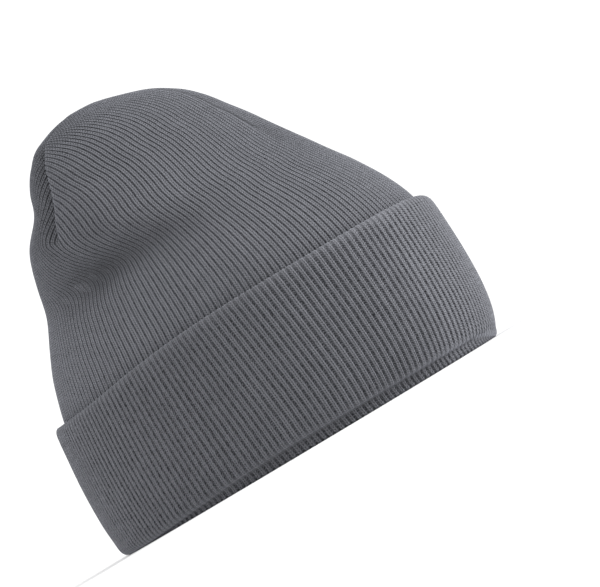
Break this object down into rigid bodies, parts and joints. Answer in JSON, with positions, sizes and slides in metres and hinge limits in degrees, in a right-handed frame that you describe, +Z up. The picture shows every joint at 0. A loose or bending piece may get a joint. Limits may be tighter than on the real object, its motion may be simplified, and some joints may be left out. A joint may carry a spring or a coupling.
{
  "type": "knit beanie",
  "caption": "Double-layer rib-knit beanie with a deep turned-up cuff and a dart-closed crown that slouches to one side, standing open on its rim.",
  "frame": {"origin": "under the middle of the cuff, on the surface that the rim stands on", "axes": "+Z up to the crown, -Y the wearer's front, +X the wearer's left"},
  "size_m": [0.18, 0.2084, 0.1764],
  "materials": {
    "yarn": "soft matt acrylic rib knit, graphite grey",
    "seam_thread": "matt overlock thread",
    "label_satin": "blank satin tape"
  },
  "bodies": {
    "root": {"cuff_facing": "yarn", "cuff_backing": "yarn", "outer_layer": "yarn", "lining_layer": "yarn", "crown_seam_front": "seam_thread", "crown_seam_right": "seam_thread", "crown_seam_back": "seam_thread", "crown_seam_left": "seam_thread", "lining_seam_front_right": "seam_thread", "lining_seam_back_right": "seam_thread", "lining_seam_back_left": "seam_thread", "lining_seam_front_left": "seam_thread", "crown_tack": "seam_thread", "lining_tack": "seam_thread", "care_label": "label_satin", "label_tack_left": "seam_thread", "label_tack_right": "seam_thread"}
  },
  "joints": []
}
